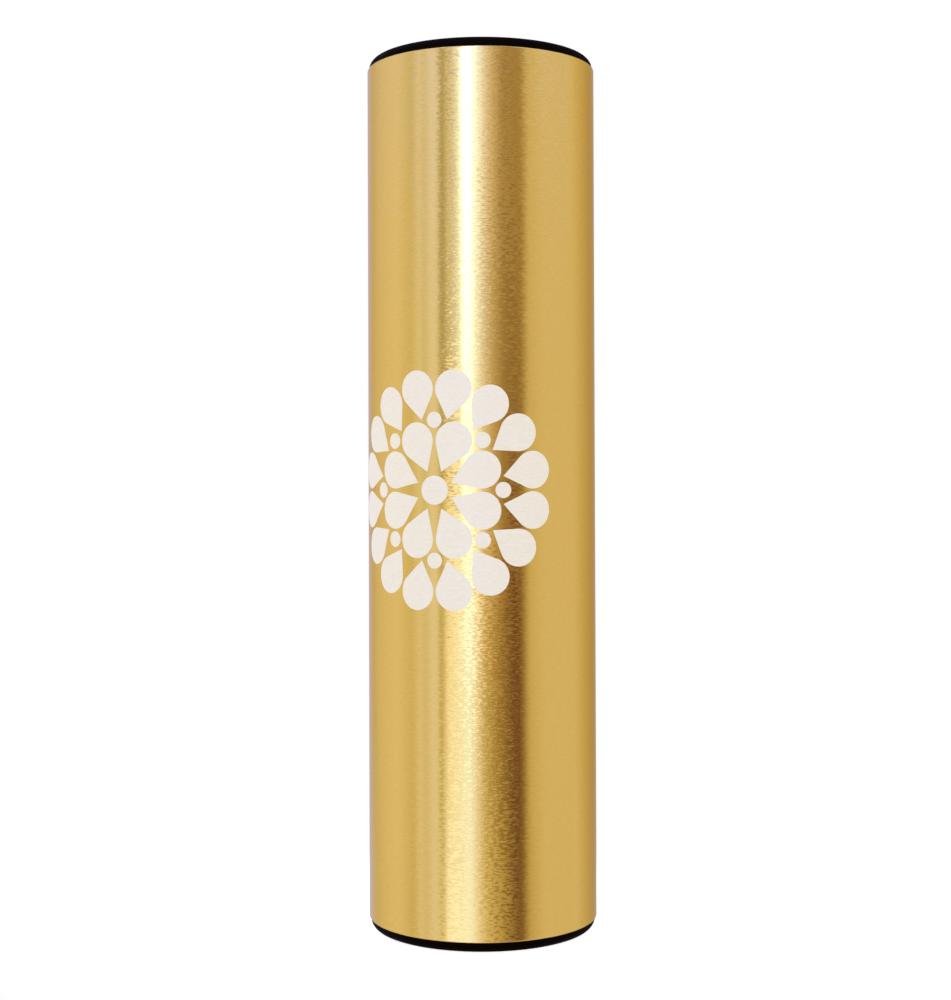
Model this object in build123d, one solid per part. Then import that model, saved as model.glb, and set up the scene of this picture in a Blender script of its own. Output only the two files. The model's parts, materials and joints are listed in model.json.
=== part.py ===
from build123d import *
import os
from math import asin, cos, floor, pi, sin

# A ganza: a brushed aluminium tube shaker, closed by two moulded plugs, with loose steel shot inside.
# Millimetres. It stands on end, with its axis on Z and the middle of its lower face at the origin.

# Tube: drawn stock, cut square, with the edges broken at both ends
tube_diameter = 50.8
tube_wall = 1.65
tube_length = 189.0
tube_edge_break = 0.4

# End plug: a rounded head that covers the tube's end, and a hollow skirt that grips the bore with fins
head_height = 2.3
head_inset = 0.35
head_round = 2.1
gate_dimple_diameter = 4.0
gate_dimple_depth = 0.4
end_wall = 2.5
skirt_length = 16.0
skirt_wall = 1.5
skirt_lead_in = 0.6
cavity_fillet = 1.5

# Fins: thin rings round the skirt, bent back towards the head as the plug was pressed in
fin_count = 4
fin_reach = 0.8
fin_thickness = 0.7
fin_sweep = 0.6
fin_clearance = 0.03

# Shot: steel balls, stored as a centre column with rings round it, so that each ring can slide and circle
shot_diameter = 4.0
shot_clearance = 0.3
shot_rings = 4
shot_layers = 3

# The most that the tube's edge break may take of its wall, and the head's round of its height
largest_break_share = 0.33
largest_round_share = 0.95

# Radii and heights that follow from the sizes above
bore_radius = tube_diameter / 2 - tube_wall
edge_break = min(tube_edge_break, largest_break_share * tube_wall)
head_radius = tube_diameter / 2 - head_inset
edge_round = min(head_round, largest_round_share * head_height)
fin_radius = bore_radius - fin_clearance
skirt_radius = fin_radius - fin_reach
cavity_radius = skirt_radius - skirt_wall
overall_height = head_height + tube_length + head_height
shot_pitch = shot_diameter + shot_clearance
shot_floor = end_wall + shot_clearance + shot_diameter / 2


def turned(section):
    """A solid of revolution about Z, from a half section drawn as (radius, height)."""
    return revolve(Plane.XZ * section, Axis.Z)


def rounded(section, radius, height, size):
    """The section with the corner nearest to (radius, height) rounded off."""
    corner = section.vertices().sort_by_distance((radius, height, 0))[0]
    return fillet(corner, size)


def make_tube():
    wall = Rectangle(tube_wall, tube_length)
    wall = chamfer(wall.vertices(), edge_break)
    return turned(Pos(bore_radius + tube_wall / 2, overall_height / 2) * wall)


def make_fin(height):
    """One fin, its root sunk halfway into the skirt and its tip leaning towards the head."""
    root = skirt_radius - skirt_wall / 2
    below, above = height - fin_thickness / 2, height + fin_thickness / 2
    section = Polyline(
        (root, below),
        (skirt_radius, below),
        (fin_radius, below - fin_sweep),
        (fin_radius, above - fin_sweep),
        (skirt_radius, above),
        (root, above),
        close=True,
    )
    return turned(make_face(section))


def make_plug():
    """An end plug with its head down, its outer face on the XY plane."""
    skirt_end = head_height + skirt_length
    section = make_face(
        Polyline(
            (0, gate_dimple_depth),
            (gate_dimple_diameter / 2, gate_dimple_depth),
            (gate_dimple_diameter / 2, 0),
            (head_radius, 0),
            (head_radius, head_height),
            (skirt_radius, head_height),
            (skirt_radius, skirt_end - skirt_lead_in),
            (skirt_radius - skirt_lead_in, skirt_end),
            (cavity_radius, skirt_end),
            (cavity_radius, end_wall),
            (0, end_wall),
            close=True,
        )
    )
    section = rounded(section, head_radius, 0, edge_round)
    section = rounded(section, cavity_radius, end_wall, cavity_fillet)
    fin_pitch = skirt_length / (fin_count + 1)
    fins = [make_fin(head_height + fin_pitch * (place + 1)) for place in range(fin_count)]
    return turned(section) + fins


def ring_places():
    """Each ring of shot in a plug's cavity, as a list of (x, y) places, the smallest first."""
    reach = cavity_radius - shot_clearance - shot_diameter / 2
    for ring in range(1, shot_rings + 1):
        radius = reach * ring / shot_rings
        count = floor(pi / asin(shot_pitch / (2 * radius)))
        angles = [2 * pi * place / count for place in range(count)]
        yield [(radius * cos(angle), radius * sin(angle)) for angle in angles]


def make_shot(places, layers):
    """Loose balls at these places in these layers, as separate solids in one node."""
    ball = Sphere(shot_diameter / 2)
    return Compound(
        [Pos(x, y, shot_floor + shot_pitch * layer) * ball for layer in layers for x, y in places]
    )


def make_nodes():
    plug = make_plug()
    nodes = {
        "tube": make_tube(),
        "bottom_plug": plug,
        "top_plug": Pos(0, 0, overall_height) * Rot(180, 0, 0) * plug,
        "shot_centre": make_shot([(0, 0)], range(shot_layers)),
    }
    for ring, places in enumerate(ring_places(), start=1):
        for layer in range(shot_layers):
            nodes[f"shot_ring{ring}_layer{layer + 1}"] = make_shot(places, [layer])
    return nodes


os.makedirs("parts", exist_ok=True)
for name, shape in make_nodes().items():
    export_step(shape, f"parts/{name}.step")
stack_height = shot_diameter + shot_pitch * (shot_layers - 1)
shot_travel = overall_height - 2 * (end_wall + shot_clearance) - stack_height
print("overall height", overall_height, "cavity radius", cavity_radius, "shot travel", shot_travel)
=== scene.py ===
import json
from math import acos, cos, hypot, pi, radians, sin

import bmesh
import bpy
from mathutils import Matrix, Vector


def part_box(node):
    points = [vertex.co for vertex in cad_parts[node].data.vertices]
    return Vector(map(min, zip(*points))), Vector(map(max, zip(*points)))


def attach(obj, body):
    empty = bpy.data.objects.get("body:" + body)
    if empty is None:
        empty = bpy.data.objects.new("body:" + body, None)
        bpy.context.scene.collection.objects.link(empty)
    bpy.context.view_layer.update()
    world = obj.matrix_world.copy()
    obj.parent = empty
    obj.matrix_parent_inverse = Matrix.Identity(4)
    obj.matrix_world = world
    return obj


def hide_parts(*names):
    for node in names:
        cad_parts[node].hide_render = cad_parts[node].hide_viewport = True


# A ganza: a brushed gold tube with black end plugs and a white printed ornament.
# Metres, in the frame of the part: the tube stands on end with its axis on Z.
# Angles round the tube are in degrees: 0 faces the camera, and they grow to the right.

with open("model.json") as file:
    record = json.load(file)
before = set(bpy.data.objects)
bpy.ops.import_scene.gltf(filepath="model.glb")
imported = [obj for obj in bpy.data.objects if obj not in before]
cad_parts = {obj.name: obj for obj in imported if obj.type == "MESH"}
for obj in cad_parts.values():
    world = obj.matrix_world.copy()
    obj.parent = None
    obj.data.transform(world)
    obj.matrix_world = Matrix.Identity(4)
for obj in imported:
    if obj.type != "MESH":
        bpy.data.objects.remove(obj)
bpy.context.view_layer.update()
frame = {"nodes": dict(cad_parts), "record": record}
scene = bpy.context.scene

# Sizes of the tube, read from the frame
tube_low, tube_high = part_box("tube")
tube_radius = tube_high.x
bore_radius = min(hypot(v.co.x, v.co.y) for v in frame["nodes"]["tube"].data.vertices)
tube_middle = (tube_low.z + tube_high.z) / 2

# Finish of the tube: the edge break at its ends, and the brushed grain, which runs round it
edge_break = 0.0004
edge_steps = 6
lathe_segments = 360
grain_length = 0.0011
grain_height = 0.0003
grain_tip = 0.65
grain_sway = 0.03

# Printed ornament: a rosette of petals and dots, laid on the tube
# A ring of dots is their number, how far out they are, and their radius
# A ring of petals is their number, how far out they start and have their round ends, and the radius of those
print_angle = -23.3
print_height = 0.09745
dot_rings = ((1, 0, 0.0031), (8, 0.0149, 0.0017))
petal_rings = ((8, 0.0042, 0.0113, 0.0040), (16, 0.0152, 0.0219, 0.0040))
arc_steps = 24
ink_thickness = 0.00004
ink_sink = 0.00002
ink_facet = 0.0006
ink_sharp_angle = 40

# Camera: where it stands, its lens, how far it looks up and leans, and how the picture is shifted
camera_distance = 0.39268
camera_height = 0.10037
camera_lens = 62.866
camera_pitch = 0.56
camera_roll = 0.1918
camera_shift = (-0.00627, -0.04088)
camera_near = 0.01

# Floor: a small round of pale paper that holds the shaker's shadow
floor_radius = 0.1
floor_segments = 96
floor_paper = (0.9, 0.9, 0.9, 1)
floor_shine = 0.8

# Lights: the angles that they fill, how bright they are, and the colour of the key light
light_radius = 0.5
key_azimuths = (-18.5, -9.5)
key_elevations = (6, 50)
key_radiance = 8
key_colour = (0.3, 0.46, 0.72)
side_azimuths = (-140, -62)
side_elevations = (-45, 45)
side_radiance = 0.06

# Studio: a white tent that opens on a dim room towards the camera
tent_radius = 0.6
wall_elevations = (-75, 75)
opening_elevations = (-75, 88)
panel_steps = 24
fine_panel_steps = 48

# Tints of the tent high up and near the floor
plain_white = (1, 1, 1)
sky_tint = (1, 1.1, 2.0)
wall_tint = (1, 1.07, 1.68)
crown_tint = (1, 1.12, 1.9)
floor_tint = (1.06, 1.09, 1.28)

# Bands of height on the tent, in shares of its radius, in which one tint or row of colours becomes the next
sky_band = (0.2, 0.6)
wall_foot_band = (-0.27, -0.4)
opening_foot_band = (-0.5, -0.3)
opening_band = (-0.25, 0.22)
crown_band = (0.45, 0.75)

# Folds across the opening: how far apart they are, and how strong they are low down and high up
fold_pitch = 0.24
fold_low = 0.6
fold_high = 0.3
# They fade out between these angles on the left and on the right
fold_left = (-43, -35)
fold_right = (28, 44)
# The low ones are whole at one height, and end at another that changes between two angles
# Both heights are shares of the tent's radius
fold_whole = -0.1
fold_ends = (-0.34, -0.5)
fold_end_angles = (-24, -8)

# Colours round the tube: each stop is an angle and the colour of the light from there, where 1 is white
# The opening has three rows of them: high up, below the tube's middle and at the floor
# From left to right: the tent's edge, the bright part of the opening, the dim room, and the tent again
opening_high = (
    (-43, (0.95, 1.02, 1.15)),
    (-38.5, (0.48, 0.45, 0.26)),
    (-34, (0.93, 1.01, 1.22)),
    (-28, (1.00, 1.12, 1.75)),
    (-17, (1.48, 2.05, 4.70)),
    (-6, (1.57, 2.20, 5.15)),
    (4, (1.16, 1.25, 2.00)),
    (11, (0.89, 0.86, 0.92)),
    (21, (0.57, 0.48, 0.36)),
    (40, (0.53, 0.42, 0.25)),
    (47, (0.93, 0.91, 0.82)),
    (62, (1.00, 1.00, 1.00)),
)
opening_low = (
    (-43, (0.84, 0.82, 0.52)),
    (-40, (0.70, 0.64, 0.26)),
    (-34, (1.42, 1.58, 2.16)),
    (-20, (1.43, 1.72, 2.90)),
    (-13, (1.58, 2.24, 5.15)),
    (-7, (1.44, 1.63, 2.50)),
    (2, (0.79, 0.66, 0.22)),
    (14, (0.49, 0.35, 0.10)),
    (31, (0.15, 0.04, 0.07)),
    (36, (0.18, 0.06, 0.08)),
    (40, (0.34, 0.23, 0.10)),
    (47, (0.91, 0.88, 0.70)),
    (62, (0.98, 0.98, 0.96)),
)
opening_floor = (
    (-43, (1.00, 1.05, 1.10)),
    (-37.5, (1.30, 1.40, 1.70)),
    (-35, (1.66, 2.12, 4.10)),
    (-12, (1.52, 1.97, 3.85)),
    (2, (1.12, 1.14, 1.20)),
    (20, (0.75, 0.70, 0.46)),
    (40, (0.26, 0.16, 0.10)),
    (47, (0.76, 0.70, 0.48)),
    (62, (0.95, 0.94, 0.90)),
)

# The tent's walls beside and behind the tube, in the same way
left_wall = (
    (-136, (0.95, 0.98, 1.17)),
    (-92, (1.04, 1.07, 1.15)),
    (-73, (0.89, 0.90, 0.78)),
    (-64, (1.13, 1.23, 1.58)),
    (-58, (0.97, 1.02, 1.08)),
    (-50, (1.15, 1.28, 1.92)),
    (-43, (1.14, 1.27, 1.70)),
)
back_left = (
    (-180, (0.60, 0.50, 0.45)),
    (-166, (0.72, 0.70, 0.90)),
    (-152, (0.87, 0.93, 1.50)),
    (-136, (0.95, 0.95, 1.10)),
)
back_right = (
    (104, (1.00, 1.00, 1.00)),
    (120, (0.88, 0.84, 0.72)),
    (140, (0.74, 0.68, 0.60)),
    (180, (0.60, 0.50, 0.45)),
)


def direction(azimuth, elevation):
    """The unit vector from the tube towards these angles, in degrees."""
    turn, rise = radians(azimuth), radians(elevation)
    return Vector((sin(turn) * cos(rise), -cos(turn) * cos(rise), sin(rise)))


def add_object(name, data):
    made = bpy.data.objects.new(name, data)
    scene.collection.objects.link(made)
    return made


def add_mesh(name, shape, material):
    """A smooth-shaded object from a bmesh, with one material."""
    mesh = bpy.data.meshes.new(name)
    shape.to_mesh(mesh)
    shape.free()
    mesh.shade_smooth()
    mesh.materials.append(material)
    return add_object(name, mesh)


def lathe(profile):
    """A closed ring, turned about Z from a closed profile of (radius, height)."""
    shape = bmesh.new()
    rings = []
    for step in range(lathe_segments):
        turn = 2 * pi * step / lathe_segments
        rings.append([shape.verts.new((r * cos(turn), r * sin(turn), z)) for r, z in profile])
    for step, ring in enumerate(rings):
        following = rings[(step + 1) % lathe_segments]
        for place in range(len(profile)):
            after = (place + 1) % len(profile)
            shape.faces.new((ring[place], following[place], following[after], ring[after]))
    bmesh.ops.recalc_face_normals(shape, faces=shape.faces)
    return shape


# Shader nodes


def node(tree, kind, inputs=None, **settings):
    """A new shader node. Each input is a value, or a socket to link from."""
    made = tree.nodes.new("ShaderNode" + kind)
    for name, value in settings.items():
        setattr(made, name, value)
    for name, value in (inputs or {}).items():
        if isinstance(value, bpy.types.NodeSocket):
            tree.links.new(value, made.inputs[name])
        else:
            made.inputs[name].default_value = value
    return made


def calculate(tree, operation, *values):
    """The result of a math node on these values."""
    return node(tree, "Math", dict(enumerate(values)), operation=operation).outputs[0]


def combine(tree, operation, *vectors):
    """The result of a vector math node on these vectors."""
    return node(tree, "VectorMath", dict(enumerate(vectors)), operation=operation).outputs[0]


def scale(tree, vector, factor):
    """The vector times a number."""
    return node(tree, "VectorMath", {0: vector, "Scale": factor}, operation="SCALE").outputs[0]


def remap(tree, value, low, high, start=0.3, end=0.7):
    """The value stretched from start..end to low..high. Most of a noise lies between 0.3 and 0.7."""
    inputs = {"Value": value, "From Min": start, "From Max": end, "To Min": low, "To Max": high}
    return node(tree, "MapRange", inputs).outputs["Result"]


def blend(tree, factor, first, second):
    """A colour between the first and the second."""
    mix = node(tree, "Mix", {0: factor, 4: first, 5: second}, data_type="VECTOR")
    return mix.outputs[1]


def new_tree(data):
    """The empty shader tree of a new material or world."""
    data.use_nodes = True
    data.node_tree.nodes.clear()
    return data.node_tree


# Materials of the pieces


def new_material(name, **constants):
    """A material with a principled shader, and the object's own coordinates for its patterns."""
    material = bpy.data.materials.new(name)
    material.use_nodes = True
    tree = material.node_tree
    shader = tree.nodes["Principled BSDF"]
    for socket, value in constants.items():
        shader.inputs[socket.replace("_", " ")].default_value = value
    place = node(tree, "TexCoord").outputs["Object"]
    return material, tree, shader, place


def noise(tree, place, size, detail=2.0):
    """Three noises in one, as red, green and blue, with grains of this size along X, Y and Z."""
    scaled = combine(tree, "MULTIPLY", place, tuple(1 / length for length in size))
    grains = node(tree, "TexNoise", {"Vector": scaled, "Scale": 1.0, "Detail": detail})
    return node(tree, "SeparateColor", {0: grains.outputs["Color"]}).outputs


def brushing(tree, place):
    """Noise drawn out round the tube, as brushing leaves it."""
    return noise(tree, place, (grain_length, grain_length, grain_height), detail=1.0)


def brushed_normal(tree, grain, round_tube):
    """The surface's normal, tipped up and down the tube by the brushing, and swayed a little round it."""
    tip = remap(tree, grain["Red"], -grain_tip / 2, grain_tip / 2, 0, 1)
    sway = remap(tree, grain["Green"], -grain_sway / 2, grain_sway / 2, 0, 1)
    along = node(tree, "CombineXYZ", {"Z": tip}).outputs[0]
    turns = {"vector_type": "VECTOR", "convert_from": "OBJECT", "convert_to": "WORLD"}
    tipped = node(tree, "VectorTransform", {0: along}, **turns).outputs[0]
    swayed = scale(tree, round_tube, sway)
    plain = node(tree, "NewGeometry").outputs["Normal"]
    moved = combine(tree, "ADD", combine(tree, "ADD", plain, tipped), swayed)
    return combine(tree, "NORMALIZE", moved)


def add_bump(tree, shader, height, depth, strength):
    """Tips the shader's normals by a pattern of this depth."""
    bump = node(tree, "Bump", {"Height": height, "Distance": depth, "Strength": strength})
    tree.links.new(bump.outputs["Normal"], shader.inputs["Normal"])


def brushed_gold():
    """Gold-anodised aluminium, brushed round the tube, so its highlights stretch along the axis."""
    material, tree, shader, place = new_material(
        "brushed_gold",
        Metallic=1.0,
        Anisotropic=0.7,
        Anisotropic_Rotation=0.25,
        Specular_Tint=(0.80, 0.69, 0.50, 1),
    )
    deep, pale = (0.637, 0.414, 0.107), (0.671, 0.436, 0.115)
    smooth, rough = 0.178, 0.194
    grain = brushing(tree, place)
    colour = blend(tree, remap(tree, grain["Blue"], 0, 1), deep, pale)
    tree.links.new(colour, shader.inputs["Base Color"])
    tree.links.new(remap(tree, grain["Blue"], smooth, rough), shader.inputs["Roughness"])
    round_tube = node(tree, "Tangent", direction_type="RADIAL", axis="Z").outputs["Tangent"]
    tree.links.new(round_tube, shader.inputs["Tangent"])
    tree.links.new(brushed_normal(tree, grain, round_tube), shader.inputs["Normal"])
    return material


def black_plastic():
    """Moulded black plastic with a fine texture."""
    material, tree, shader, place = new_material(
        "black_plastic", Specular_IOR_Level=0.02, IOR=1.35, Specular_Tint=(1, 0.7, 0.45, 1)
    )
    mottle_size, texture_size, texture_depth = 0.004, 0.0004, 0.00002
    deep, pale = (0.0022, 0.0010, 0.0006), (0.0042, 0.0020, 0.0012)
    smooth, rough = 0.55, 0.7
    mottle = noise(tree, place, (mottle_size,) * 3)["Red"]
    texture = noise(tree, place, (texture_size,) * 3, detail=3.0)["Red"]
    tree.links.new(blend(tree, mottle, deep, pale), shader.inputs["Base Color"])
    tree.links.new(remap(tree, mottle, smooth, rough), shader.inputs["Roughness"])
    add_bump(tree, shader, texture, texture_depth, 0.6)
    return material


def bright_steel():
    """Plain steel balls, lightly scuffed by each other."""
    material, tree, shader, place = new_material("bright_steel", Metallic=1.0)
    scuff_size, scuff_depth = 0.0008, 0.00001
    deep, pale = (0.48, 0.48, 0.48), (0.62, 0.62, 0.61)
    smooth, rough = 0.15, 0.32
    scuffs = noise(tree, place, (scuff_size,) * 3, detail=4.0)["Red"]
    tree.links.new(blend(tree, scuffs, deep, pale), shader.inputs["Base Color"])
    tree.links.new(remap(tree, scuffs, smooth, rough), shader.inputs["Roughness"])
    add_bump(tree, shader, scuffs, scuff_depth, 0.4)
    return material


def white_ink():
    """Screen-printed ink, thin enough for the brushing to show through it a little."""
    material, tree, shader, place = new_material("white_ink", Specular_IOR_Level=0.35)
    deep, pale = (0.842, 0.767, 0.657), (0.892, 0.821, 0.721)
    smooth, rough = 0.5, 0.6
    grain_depth = 0.000006
    grain = brushing(tree, place)["Red"]
    tree.links.new(blend(tree, remap(tree, grain, 0, 1), deep, pale), shader.inputs["Base Color"])
    tree.links.new(remap(tree, grain, smooth, rough), shader.inputs["Roughness"])
    add_bump(tree, shader, grain, grain_depth, 1.0)
    return material


# Pieces


def make_tube(material):
    """The tube, with its edges rounded over where the stock was cut."""
    corners = (
        (tube_radius, tube_low.z, -90),
        (tube_radius, tube_high.z, 0),
        (bore_radius, tube_high.z, 90),
        (bore_radius, tube_low.z, 180),
    )
    profile = []
    for radius, height, start in corners:
        inward = edge_break if radius == bore_radius else -edge_break
        upward = edge_break if height == tube_low.z else -edge_break
        for step in range(edge_steps + 1):
            turn = radians(start + 90 * step / edge_steps)
            across = radius + inward + edge_break * cos(turn)
            profile.append((across, height + upward + edge_break * sin(turn)))
    tube = add_mesh("tube_brushed", lathe(profile), material)
    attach(tube, "shell")
    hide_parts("tube")


def arc(centre, radius, start, end):
    """Points of an arc on the unrolled tube, as (along the girth, height)."""
    turns = [start + (end - start) * step / arc_steps for step in range(arc_steps + 1)]
    return [(centre[0] + radius * cos(turn), centre[1] + radius * sin(turn)) for turn in turns]


def ornament_faces():
    """Flat faces of the rosette on the unrolled tube, round its own middle."""
    for count, middle, radius in dot_rings:
        for dot in range(count):
            lean = 2 * pi * dot / count
            yield arc((middle * cos(lean), middle * sin(lean)), radius, 0, 2 * pi)[:-1]
    for count, start, middle, end_radius in petal_rings:
        half = pi - acos(end_radius / (middle - start))
        for petal in range(count):
            lean = 2 * pi * (petal + 0.5) / count
            centre = (middle * cos(lean), middle * sin(lean))
            tip = (start * cos(lean), start * sin(lean))
            yield [tip, *arc(centre, end_radius, lean - half, lean + half)]


def on_tube(across, up, radius):
    """A point of the unrolled print, wrapped round the tube."""
    turn = radians(print_angle) + across / tube_radius
    return Vector((radius * sin(turn), -radius * cos(turn), print_height + up))


def flat_ornament():
    """The rosette's faces, unrolled and cut into strips narrow enough to bend round the tube."""
    shape = bmesh.new()
    for corners in ornament_faces():
        shape.faces.new([shape.verts.new((across, up, 0)) for across, up in corners])
    reach = max(middle + end_radius for _, _, middle, end_radius in petal_rings)
    cuts = int(2 * reach / ink_facet)
    for cut in range(1, cuts):
        across = reach * (2 * cut / cuts - 1)
        everything = shape.verts[:] + shape.edges[:] + shape.faces[:]
        bmesh.ops.bisect_plane(shape, geom=everything, plane_co=(across, 0, 0), plane_no=(1, 0, 0))
    return shape


def make_print(material):
    """The ornament as a thin layer of ink that follows the tube."""
    shape = flat_ornament()
    lower = shape.verts[:]
    raised = bmesh.ops.extrude_face_region(shape, geom=shape.faces[:])
    upper = [item for item in raised["geom"] if isinstance(item, bmesh.types.BMVert)]
    for verts, radius in ((lower, tube_radius - ink_sink), (upper, tube_radius + ink_thickness)):
        for vert in verts:
            vert.co = on_tube(vert.co.x, vert.co.y, radius)
    bmesh.ops.recalc_face_normals(shape, faces=shape.faces)
    ornament = add_mesh("print_ornament", shape, material)
    ornament.data.set_sharp_from_angle(angle=radians(ink_sharp_angle))
    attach(ornament, "shell")


def dress_cad(materials):
    """Gives each CAD node its finish, by the record's material slots."""
    for subpart in frame["record"]["subparts"]:
        mesh = frame["nodes"][subpart["node"]].data
        mesh.materials.clear()
        mesh.materials.append(materials[subpart["material_slot"]])


# Studio


def shining(name):
    """A material that only shines, its tree, its colour, and where on the panel it shines."""
    material = bpy.data.materials.new(name)
    tree = new_tree(material)
    glow = node(tree, "Emission")
    node(tree, "OutputMaterial", {"Surface": glow.outputs[0]})
    place = node(tree, "SeparateXYZ", {0: node(tree, "TexCoord").outputs["Object"]}).outputs
    return material, tree, glow.inputs["Color"], place


def azimuth(tree, place):
    """How far round the tube a place on a panel is."""
    return calculate(tree, "ARCTAN2", place["X"], calculate(tree, "MULTIPLY", place["Y"], -1.0))


def up_the_tent(tree, place, band):
    """0 where this band of heights starts and 1 where it ends."""
    start, end = band
    return remap(tree, place["Z"], 0, 1, start * tent_radius, end * tent_radius)


def round_the_tube(tree, turn, stops):
    """A colour that runs through these stops, each an azimuth and a colour."""
    first, last = stops[0][0], stops[-1][0]
    share = remap(tree, turn, 0, 1, radians(first), radians(last))
    ramp = node(tree, "ValToRGB", {"Fac": share})
    brightest = max(max(colour) for _, colour in stops)
    bands = ramp.color_ramp.elements
    while len(bands) < len(stops):
        bands.new(0.5)
    for band, (angle, colour) in zip(bands, stops):
        band.position = (angle - first) / (last - first)
        band.color = (*(channel / brightest for channel in colour), 1)
    return scale(tree, ramp.outputs["Color"], brightest)


def fold_depth(tree, place, turn, to_high):
    """How strong the folds are at a place in the opening."""
    ends = [share * tent_radius for share in fold_ends]
    lowest = remap(tree, turn, *ends, *(radians(angle) for angle in fold_end_angles))
    low = remap(tree, place["Z"], 0, fold_low, lowest, fold_whole * tent_radius)
    left = remap(tree, turn, 0, 1, *(radians(angle) for angle in fold_left))
    right = remap(tree, turn, 1, 0, *(radians(angle) for angle in fold_right))
    inside = calculate(tree, "MINIMUM", left, right)
    return calculate(tree, "MULTIPLY", remap(tree, to_high, low, fold_high, 0, 1), inside)


def fold_light(tree, place, turn, to_high):
    """How much the folds brighten or dim a place in the opening: 1 where they do neither."""
    shift = remap(tree, to_high, pi, pi / 2, 0, 1)
    phase = calculate(tree, "MULTIPLY_ADD", place["Z"], 2 * pi / fold_pitch, shift)
    fold = calculate(tree, "SINE", phase)
    return calculate(tree, "MULTIPLY_ADD", fold, fold_depth(tree, place, turn, to_high), 1.0)


def opening_view():
    """What shows in the opening: its upper part, its lower part and the floor in front of it."""
    material, tree, shine, place = shining("opening_view")
    turn = azimuth(tree, place)
    high, low, ground = (round_the_tube(tree, turn, s) for s in (opening_high, opening_low, opening_floor))
    to_high = up_the_tent(tree, place, opening_band)
    to_low = up_the_tent(tree, place, opening_foot_band)
    crown = blend(tree, up_the_tent(tree, place, crown_band), plain_white, crown_tint)
    smooth = blend(tree, to_high, blend(tree, to_low, ground, low), combine(tree, "MULTIPLY", high, crown))
    tree.links.new(scale(tree, smooth, fold_light(tree, place, turn, to_high)), shine)
    return material


def tent_wall(name, stops, high, low):
    """A part of the tent that runs through these stops, times other colours high up and near the floor."""
    material, tree, shine, place = shining(name)
    colour = round_the_tube(tree, azimuth(tree, place), stops)
    tint = blend(tree, up_the_tent(tree, place, sky_band), plain_white, high)
    tint = blend(tree, up_the_tent(tree, place, wall_foot_band), tint, low)
    tree.links.new(combine(tree, "MULTIPLY", colour, tint), shine)
    return material


def tent_panel(name, stops, elevations, material, steps=panel_steps):
    """A curved panel of the tent that the camera looks past, from the first stop's angle to the last's."""
    first, last = stops[0][0], stops[-1][0]
    turns = [first + (last - first) * step / steps for step in range(steps + 1)]
    shape = bmesh.new()
    rows = []
    for row in range(steps + 1):
        elevation = elevations[0] + (elevations[1] - elevations[0]) * row / steps
        rows.append([shape.verts.new(tent_radius * direction(turn, elevation)) for turn in turns])
    for low, high in zip(rows, rows[1:]):
        for place in range(steps):
            shape.faces.new((low[place], low[place + 1], high[place + 1], high[place]))
    panel = add_mesh(name, shape, material)
    panel.location.z = tube_middle
    panel.visible_camera = False
    panel.visible_diffuse = False


def seen_directly(tree):
    """1 for rays from the eye, and for those that metal or glass sends on, or else 0."""
    path = node(tree, "LightPath").outputs
    seen = calculate(tree, "MAXIMUM", path["Is Camera Ray"], path["Is Glossy Ray"])
    return calculate(tree, "MAXIMUM", seen, path["Is Transmission Ray"])


def make_world():
    """A world that shows white, cooler high up, and lights matt surfaces with plain white."""
    world = bpy.data.worlds.new("white_tent")
    tree = new_tree(world)
    scene.world = world
    rise = node(tree, "SeparateXYZ", {0: node(tree, "TexCoord").outputs["Generated"]}).outputs["Z"]
    sky = blend(tree, remap(tree, rise, 0, 1, *sky_band), plain_white, sky_tint)
    fill = node(tree, "Background", {"Color": (*plain_white, 1), "Strength": 1.0})
    shown = node(tree, "Background", {"Color": sky, "Strength": 1.0})
    mixed = node(tree, "MixShader", {0: seen_directly(tree), 1: fill.outputs[0], 2: shown.outputs[0]})
    node(tree, "OutputWorld", {"Surface": mixed.outputs[0]})


def softbox(name, azimuths, elevations, radiance, colour=plain_white, shines_on_matt=True):
    """A rectangular light between these angles, facing the middle of the tube."""
    middle = direction(sum(azimuths) / 2, sum(elevations) / 2)
    lamp = bpy.data.lights.new(name, "AREA")
    lamp.shape = "RECTANGLE"
    lamp.size = light_radius * radians(azimuths[1] - azimuths[0])
    lamp.size_y = light_radius * radians(elevations[1] - elevations[0])
    lamp.energy = radiance * pi * lamp.size * lamp.size_y
    lamp.color = colour
    light = add_object(name, lamp)
    light.location = Vector((0, 0, tube_middle)) + light_radius * middle
    light.rotation_euler = middle.to_track_quat("Z", "Y").to_euler()
    light.visible_camera = False
    light.visible_diffuse = shines_on_matt


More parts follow.
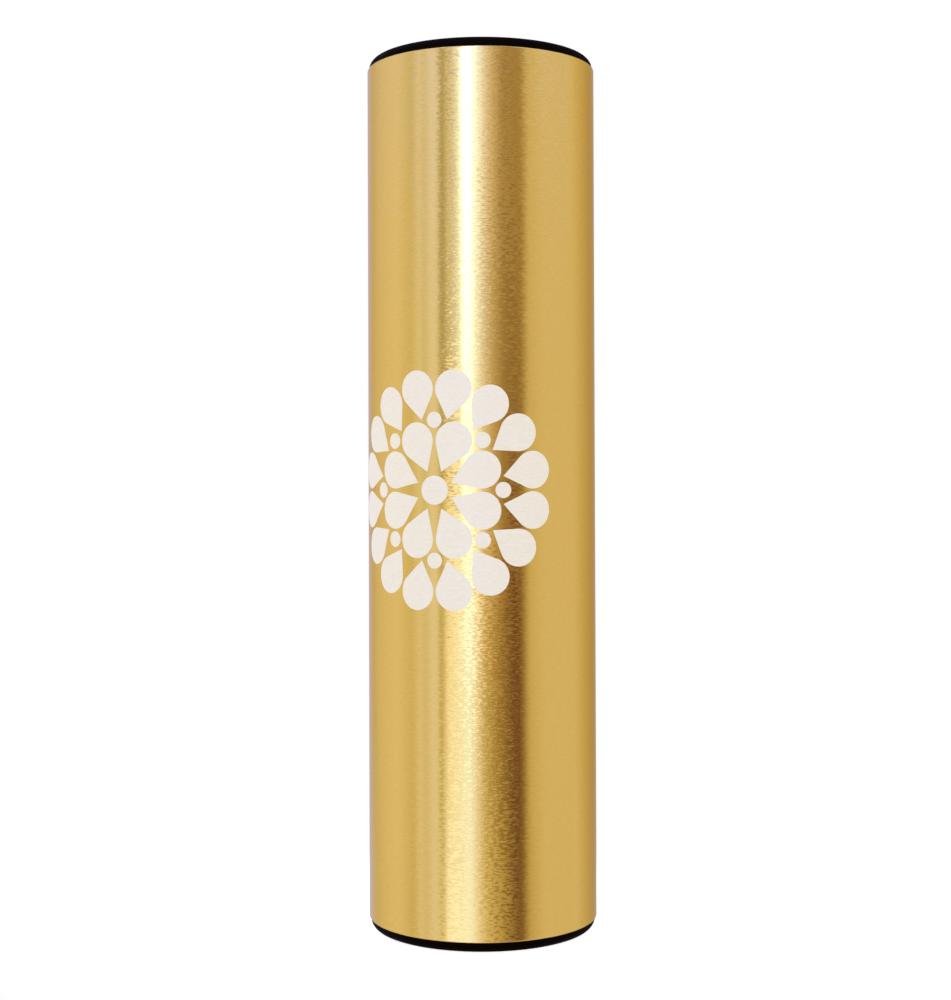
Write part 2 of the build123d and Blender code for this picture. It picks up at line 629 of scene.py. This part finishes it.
def pale_floor():
    """Paper that fades out from the tube's foot to the floor's edge, and looks white to the eye."""
    material = bpy.data.materials.new("pale_floor")
    tree = new_tree(material)
    place = node(tree, "TexCoord").outputs["Object"]
    reach = node(tree, "VectorMath", {0: place}, operation="LENGTH").outputs["Value"]
    edges = {"Value": reach, "From Min": tube_radius, "From Max": floor_radius}
    fade = node(tree, "MapRange", edges, interpolation_type="SMOOTHSTEP").outputs["Result"]
    paper = node(tree, "BsdfDiffuse", {"Color": floor_paper})
    glow = node(tree, "Emission", {"Color": (*plain_white, 1), "Strength": floor_shine})
    nothing = node(tree, "BsdfTransparent")
    lit = node(tree, "AddShader", {0: paper.outputs[0], 1: glow.outputs[0]})
    seen = node(tree, "MixShader", {0: seen_directly(tree), 1: paper.outputs[0], 2: lit.outputs[0]})
    faded = node(tree, "MixShader", {0: fade, 1: seen.outputs[0], 2: nothing.outputs[0]})
    node(tree, "OutputMaterial", {"Surface": faded.outputs[0]})
    return material


def make_floor():
    """A pale round of floor that holds the shaker's shadow and melts into the white round it."""
    shape = bmesh.new()
    bmesh.ops.create_circle(shape, cap_ends=True, radius=floor_radius, segments=floor_segments)
    floor = add_mesh("floor", shape, pale_floor())
    floor.visible_glossy = False


def make_camera():
    lens = bpy.data.cameras.new("camera")
    lens.lens = camera_lens
    lens.shift_x, lens.shift_y = camera_shift
    lens.clip_start = camera_near
    camera = add_object("camera", lens)
    camera.location = (0, -camera_distance, camera_height)
    camera.rotation_euler = (pi / 2 + radians(camera_pitch), radians(camera_roll), 0)
    scene.camera = camera


def make_tent():
    tent_panel("opening", opening_high, opening_elevations, opening_view(), fine_panel_steps)
    beside = tent_wall("pale_white", left_wall, wall_tint, plain_white)
    tent_panel("left_wall", left_wall, wall_elevations, beside, fine_panel_steps)
    behind_left = tent_wall("cool_grey", back_left, plain_white, floor_tint)
    tent_panel("back_left", back_left, wall_elevations, behind_left)
    behind_right = tent_wall("warm_grey", back_right, plain_white, floor_tint)
    tent_panel("back_right", back_right, wall_elevations, behind_right)


def make_studio():
    make_world()
    make_floor()
    make_camera()
    make_tent()
    softbox("key_strip", key_azimuths, key_elevations, key_radiance, key_colour, shines_on_matt=False)
    softbox("left_wide", side_azimuths, side_elevations, side_radiance)
    scene.view_settings.view_transform = "Standard"


gold = brushed_gold()
ink = white_ink()
dress_cad({"gold_tube": gold, "black_plug": black_plastic(), "steel_shot": bright_steel()})
make_tube(gold)
make_print(ink)
make_studio()
